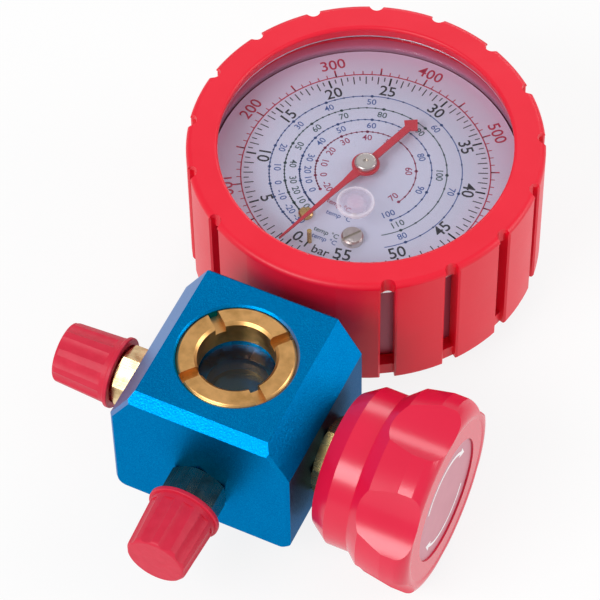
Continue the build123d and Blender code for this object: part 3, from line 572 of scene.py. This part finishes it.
def lettering(name, finish, words):
    """One mesh of printed words: (text, angle in radians, radius, height). Tops face out above the hub."""
    size_to_height, weight_to_height = 1.38, 0.014
    mesh_points, mesh_faces = [], []
    for text, angle, radius, height in words:
        curve = bpy.data.curves.new("word", "FONT")
        curve.body = text
        curve.size = height * size_to_height
        curve.offset = height * weight_to_height
        curve.align_x, curve.align_y = "CENTER", "CENTER"
        curve.resolution_u = 3
        word = bpy.data.objects.new("word", curve)
        bpy.context.scene.collection.objects.link(word)
        bpy.context.view_layer.update()
        flat = bpy.data.meshes.new_from_object(word.evaluated_get(bpy.context.evaluated_depsgraph_get()))
        lean = angle - pi / 2 if sin(angle) >= 0 else angle + pi / 2
        place = Matrix.Translation((radius * cos(angle), radius * sin(angle), ink_level))
        move = place @ Matrix.Rotation(lean, 4, "Z")
        start = len(mesh_points)
        mesh_points += [move @ vertex.co for vertex in flat.vertices]
        mesh_faces += [tuple(start + corner for corner in polygon.vertices) for polygon in flat.polygons]
        bpy.data.objects.remove(word)
        bpy.data.meshes.remove(flat)
        bpy.data.curves.remove(curve)
    mesh = bpy.data.meshes.new(name)
    mesh.from_pydata(mesh_points, [], mesh_faces)
    mesh.materials.append(finish.material)
    on_the_dial(name, mesh)


psi = 0.0689476
psi_line = 0.0312
tick_row("bar_ticks_half", black_ink, 56, first=-0.5, step=1.0, inner=0.0292, length=0.0013, width=0.00028)
tick_row("bar_ticks_one", black_ink, 57, first=-1.0, step=1.0, inner=0.0281, length=0.0024, width=0.00028)
tick_row("bar_ticks_five", black_ink, 12, first=0.0, step=5.0, inner=0.0280, length=0.0025, width=0.00048)
arc_line("psi_circle", red_ink, -0.9, 55.2, radius=psi_line, width=0.00034)
tick_row("psi_ticks_ten", red_ink, 80, 0.0, step=10 * psi, inner=psi_line, length=0.0011, width=0.00026)
tick_row("psi_ticks_fifty", red_ink, 17, 0.0, step=50 * psi, inner=psi_line, length=0.0022, width=0.00042)
bar_numbers = [(str(value), bar_angle(value), 0.0261, 0.0032) for value in range(5, 50, 5)]
bar_numbers += [
    ("0", bar_angle(-0.2), 0.0263, 0.0032),
    ("50", bar_angle(49.87), 0.0265, 0.0033),
    ("55", bar_angle(54.72), 0.0266, 0.0034),
    ("-1", bar_angle(-1.1), 0.0267, 0.0027),
    ("bar", bar_angle(-2.75), 0.0272, 0.0025),
]
lettering("bar_numbers", black_ink, bar_numbers)
psi_numbers = [(str(value), bar_angle(value * psi), 0.0351, 0.0032) for value in range(100, 800, 100)]
lettering("psi_numbers", red_ink, psi_numbers)

# Each inner scale has a radius, the bar value at which its line ends, and the bar value of each degree
# mark that it shows.
temperature_scales = (
    ("outer_blue", blue_ink, 0.0241, 50.85, {
        -30: 1.2, -20: 2.84, -10: 4.9, 0: 6.57, 10: 8.7, 20: 11.37, 30: 14.88, 40: 18.91, 50: 23.6,
        60: 31.6, 70: 40.6, 80: 48.7,
    }),
    ("green", green_ink, 0.0203, 50.85, {
        0: 2.06, 10: 3.33, 20: 4.96, 30: 6.72, 40: 9.35, 50: 12.38, 60: 16.03, 70: 20.08, 80: 25.12,
        90: 30.82, 100: 38.4, 110: 48.5,
    }),
    ("inner_blue", blue_ink, 0.0165, 49.0, {
        -20: 1.37, -10: 2.7, 0: 4.21, 10: 6.42, 20: 8.44, 30: 10.96, 40: 14.7, 50: 18.83, 60: 23.9,
        70: 28.97, 80: 34.9, 90: 41.7, 100: 49.0,
    }),
    ("inner_red", crimson_ink, 0.0126, 46.0, {
        -20: 3.77, 0: 7.17, 10: 10.59, 20: 14.07, 30: 18.21, 40: 23.3, 50: 28.4, 60: 37.8, 70: 46.0,
    }),
)
line_width, large_dot, small_dot, gaps_between_marks = 0.00026, 0.00044, 0.00027, 5
number_inset, number_height = 0.00195, 0.0018
for name, finish, radius, last, marks in temperature_scales:
    at_marks = list(marks.values())
    between = [
        low + (high - low) * part / gaps_between_marks
        for low, high in zip(at_marks, at_marks[1:])
        for part in range(1, gaps_between_marks)
    ]
    arc_line(name + "_line", finish, at_marks[0], last, radius, line_width)
    for kind, values, size in (("main", at_marks, large_dot), ("small", between, small_dot)):
        seed = bpy.data.meshes.new(name + "_seed")
        spots = [(radius * cos(angle), radius * sin(angle), ink_level) for angle in map(bar_angle, values)]
        seed.from_pydata(spots, [], [])
        printed(name + "_dots_" + kind, seed, dot_tree, finish, {"Radius": size})
    lettering(name + "_numbers", finish, [
        (str(degrees), bar_angle(value), radius - number_inset, number_height)
        for degrees, value in marks.items() if name != "inner_blue" or degrees >= 0
    ])

key_height = 0.0014
for name, angle, radius, finish in (
    ("green_key", -92.1, 0.0215, green_ink),
    ("outer_blue_key", -91.0, 0.0235, blue_ink),
    ("inner_blue_key", -90.9, 0.0155, blue_ink),
    ("inner_red_key", -97.0, 0.0126, crimson_ink),
):
    lettering(name, finish, [("temp °C", radians(angle), radius, key_height)])

# ---- Pointer --------------------------------------------------------------------------------------
# Stamped aluminium in red lacquer, with an arrow on its tail for balance, under a nickel hub cap.
pointer_lacquer = Finish("pointer_lacquer")
pointer_lacquer.shade(
    base_color=pointer_lacquer.blend(pointer_lacquer.noise(0.002), (0.62, 0.02, 0.04), (0.7, 0.035, 0.06)),
    roughness=0.35,
)
wear("pointer", pointer_lacquer)

# ---- Lens and its plug ----------------------------------------------------------------------------
# A clear plastic disc, with a soft plug pushed into the hole that reaches the adjuster. The plug is
# clear in its middle and milky where it turns down at its rim.
wear("lens", clear("lens_sheet", (0.97, 0.97, 0.99), 0.55))
plug_axis, plug_radius = (0.0044, -0.0155, 0.0), 0.005
milky = Finish("milky_plug")
reach = milky.about(plug_axis, "Z")[0]
body = milky.principled(
    base_color=milky.steps(
        reach / plug_radius,
        (0.0, (0.62, 0.36, 0.52)),
        (0.35, (0.75, 0.55, 0.68)),
        (1.0, (0.86, 0.84, 0.93)),
    ),
    roughness=0.3,
)
through = milky.wire("ShaderNodeBsdfTransparent", {"Color": (0.97, 0.95, 0.97, 1.0)})
milkiness = ((0.0, 0.3), (0.35, 0.25), (0.5, 0.08), (0.72, 0.1), (0.92, 0.55))
share = milky.steps(reach / plug_radius, *((place, (grey, grey, grey)) for place, grey in milkiness))
milky.cover(milky.mix(share, through, body))
wear("lens_plug", milky)

# ---- Rubber boot ----------------------------------------------------------------------------------
# One moulding in red rubber, pulled over the case: a smooth lip, and pads round the side with slots
# between them that show the case's wall. It has a soft, slightly uneven shine. The gasket under the
# bezel is cut from the same rubber.
boot_rubber = Finish("boot_rubber")
waves = boot_rubber.noise(0.014, 3.0)
pores = boot_rubber.noise(0.00035, 2.0)
boot_rubber.shade(
    base_color=boot_rubber.blend(waves, (0.75, 0.003, 0.022), (0.83, 0.010, 0.036)),
    roughness=(pores * 0.12 + waves * 0.08 + 0.28).clamp(),
    specular_ior_level=0.38,
    normal=boot_rubber.bump(waves * 0.8 + pores * 0.05, 0.0005, 0.3),
)
wear("boot", boot_rubber)
wear("lens_gasket", boot_rubber)

# ---- Boot front wall ------------------------------------------------------------------------------
# Over the stem the moulding is plain: a web of the same rubber runs from the lip down to the hem and
# closes the two places on either side of the stem where the other pads have a slot between them.
web_out, web_in, web_lip, web_round = 0.04453, 0.0432, 0.0420, 0.0015
lip_thickness, lip_root, web_proud = 0.0012, 0.0030, 0.00003
web_start, web_sweep, web_steps = 254.5, 31.0, 48
web_low, web_high = nodes["boot"].bound_box[0][2], nodes["boot"].bound_box[6][2] + web_proud
web_section = [(web_in, web_low), (web_out, web_low)]
for slope in range(0, 91, 15):
    along, up = cos(radians(slope)), sin(radians(slope))
    web_section.append((web_out - web_round * (1 - along), web_high - web_round * (1 - up)))
web_section += [(web_lip, web_high), (web_lip, web_high - lip_thickness), (web_in, web_high - lip_root)]
sides = len(web_section)
web_points, web_faces = [], []
for step in range(web_steps + 1):
    angle = radians(web_start + web_sweep * step / web_steps)
    web_points += [(radius * cos(angle), radius * sin(angle), height) for radius, height in web_section]
for step in range(web_steps):
    here, there = step * sides, (step + 1) * sides
    for side in range(sides):
        after = (side + 1) % sides
        web_faces.append((here + side, there + side, there + after, here + after))
web_faces += [tuple(range(sides)), tuple(range(web_steps * sides, (web_steps + 1) * sides))[::-1]]
web_mesh = bpy.data.meshes.new("boot_front_web")
web_mesh.from_pydata(web_points, [], web_faces)
web_mesh.materials.append(boot_rubber.material)
web_mesh.shade_smooth()
web_mesh.set_sharp_from_angle(angle=radians(30))
boot_web = bpy.data.objects.new("boot_front_web", web_mesh)
bpy.context.scene.collection.objects.link(boot_web)
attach(boot_web, "manifold")


# ---- Floor, lamps and background ------------------------------------------------------------------
# A plain white table in a white room, which the camera, the metal and the glass all see. Three soft
# lamps stand in front, to the right and behind.
def seen_by(wiring, *rays):
    """1 where one of these kinds of ray arrives, and 0 for the rest."""
    paths = wiring.node("ShaderNodeLightPath")
    seen = Wire(wiring, paths.outputs[f"Is {rays[0]} Ray"])
    for ray in rays[1:]:
        seen = seen.larger(Wire(wiring, paths.outputs[f"Is {ray} Ray"]))
    return seen


floor_gap, far = 0.0002, 3
floor_level = cad_box[0][2] - floor_gap
floor_mesh = bpy.data.meshes.new("floor")
floor_corners = [(x, y, floor_level) for x, y in ((-far, -far), (far, -far), (far, far), (-far, far))]
floor_mesh.from_pydata(floor_corners, [], [(0, 1, 2, 3)])
floor = bpy.data.objects.new("floor", floor_mesh)
bpy.context.scene.collection.objects.link(floor)
table = Finish("white_table")
matt = table.wire("ShaderNodeBsdfDiffuse", {"Color": (0.85, 0.85, 0.85, 1.0)})
glow = table.wire("ShaderNodeEmission", {"Color": (1, 1, 1, 1), "Strength": 1.0})
table.cover(table.mix(seen_by(table, "Camera", "Glossy", "Transmission") * 0.85, matt, glow))
floor_mesh.materials.append(table.material)

room = bpy.data.worlds.new("room")
bpy.context.scene.world = room
room.use_nodes = True
sky = Wiring(room.node_tree)
ambient = sky.wire("ShaderNodeBackground", {"Color": (1, 1, 1, 1), "Strength": 0.55})
backdrop = sky.wire("ShaderNodeBackground", {"Color": (1, 1, 1, 1), "Strength": 1.0})
surroundings = sky.mix(seen_by(sky, "Camera", "Transmission"), ambient, backdrop)
sky.node("ShaderNodeOutputWorld", {"Surface": surroundings})


def softbox(name, place, target, size, power):
    """A rectangular lamp that stands at a place and faces a target."""
    light = bpy.data.lights.new(name, "AREA")
    light.shape = "RECTANGLE"
    light.size, light.size_y = size
    light.energy = power
    lamp = bpy.data.objects.new(name, light)
    bpy.context.scene.collection.objects.link(lamp)
    aim = (Vector(target) - Vector(place)).to_track_quat("-Z", "Y")
    lamp.matrix_world = Matrix.Translation(place) @ aim.to_matrix().to_4x4()


softbox("front_softbox", (-0.35, -0.9, 0.85), (0.0, -0.03, 0.02), size=(0.7, 0.5), power=9.0)
softbox("right_softbox", (0.95, 0.38, 0.42), (0.0, -0.03, 0.02), size=(0.5, 0.7), power=4.0)
softbox("back_softbox", (-0.2, 1.1, 0.7), (0.0, 0.0, 0.02), size=(0.9, 0.4), power=4.0)
bpy.context.scene.view_settings.view_transform = "Standard"
